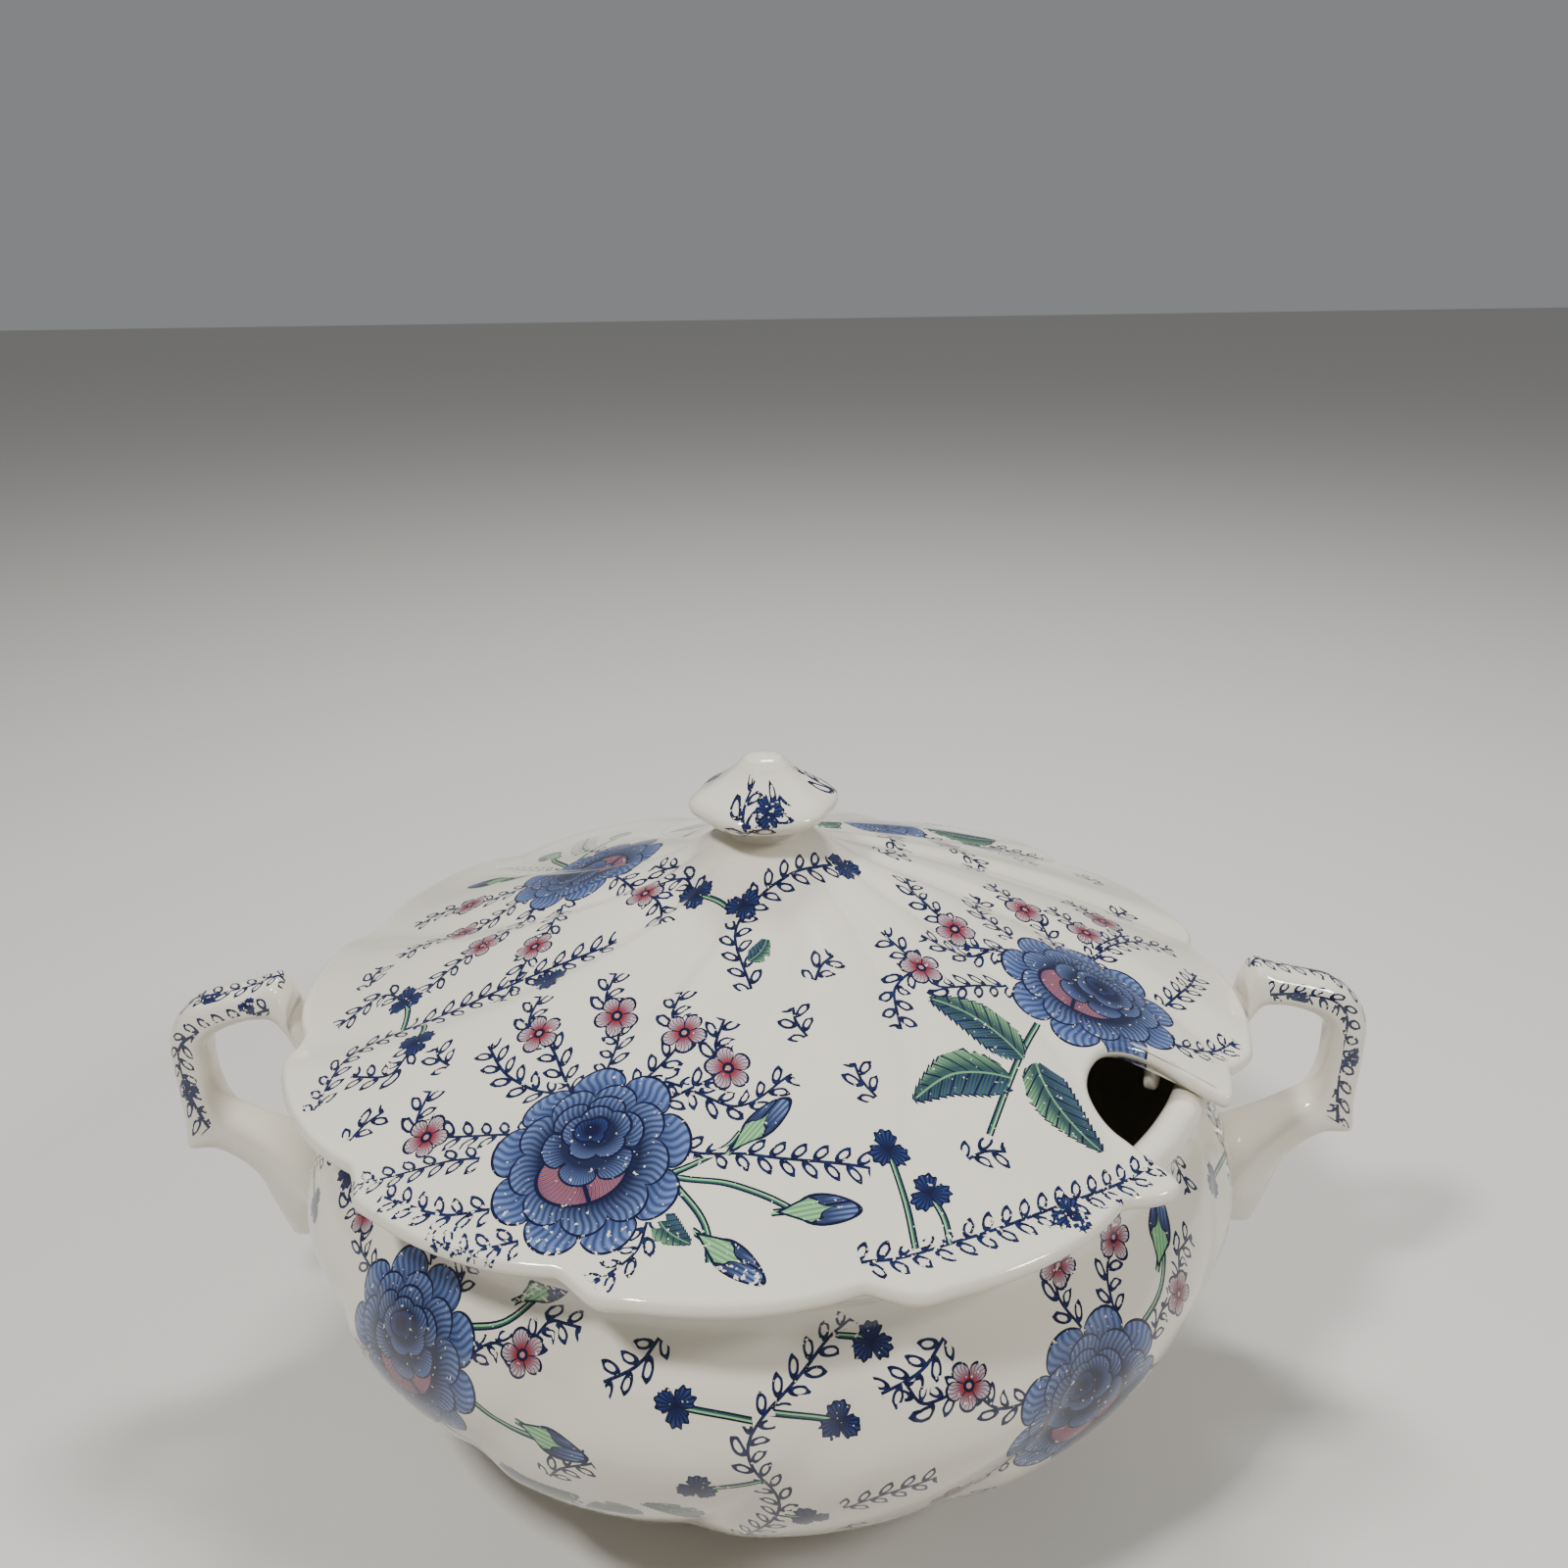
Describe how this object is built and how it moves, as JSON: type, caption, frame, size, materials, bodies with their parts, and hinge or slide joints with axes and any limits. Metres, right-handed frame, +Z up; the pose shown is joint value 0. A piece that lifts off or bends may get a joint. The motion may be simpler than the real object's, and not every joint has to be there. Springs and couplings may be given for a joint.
{
  "type": "soup tureen",
  "caption": "Round fluted earthenware soup tureen with two ear handles and a scalloped lift-off lid with a ladle notch and a knob.",
  "frame": {"origin": "middle of the foot ring's standing face", "axes": "+Z up along the axis of bowl and lid; +X through the right handle; -Y to the front"},
  "size_m": [0.3202, 0.2482, 0.1765],
  "materials": {
    "bowl_glaze": "cream lead-bright glaze over blue underglaze print",
    "foot_biscuit": "glazed sides, wiped biscuit standing edge",
    "handle_glaze": "cream glaze with small printed sprigs",
    "lid_glaze": "cream glaze over blue underglaze print",
    "flange_glaze": "plain cream glaze",
    "knob_glaze": "cream glaze with one printed sprig"
  },
  "bodies": {
    "bowl": {"bowl": "bowl_glaze", "foot_ring": "foot_biscuit", "handle_right": "handle_glaze", "handle_left": "handle_glaze"},
    "lid": {"lid": "lid_glaze", "lid_flange": "flange_glaze", "knob": "knob_glaze"}
  },
  "joints": [
    {"name": "lid_lift", "type": "slide", "parent": "bowl", "child": "lid", "axis": [0, 0, 1], "range_m": [0, 0.1]}
  ]
}
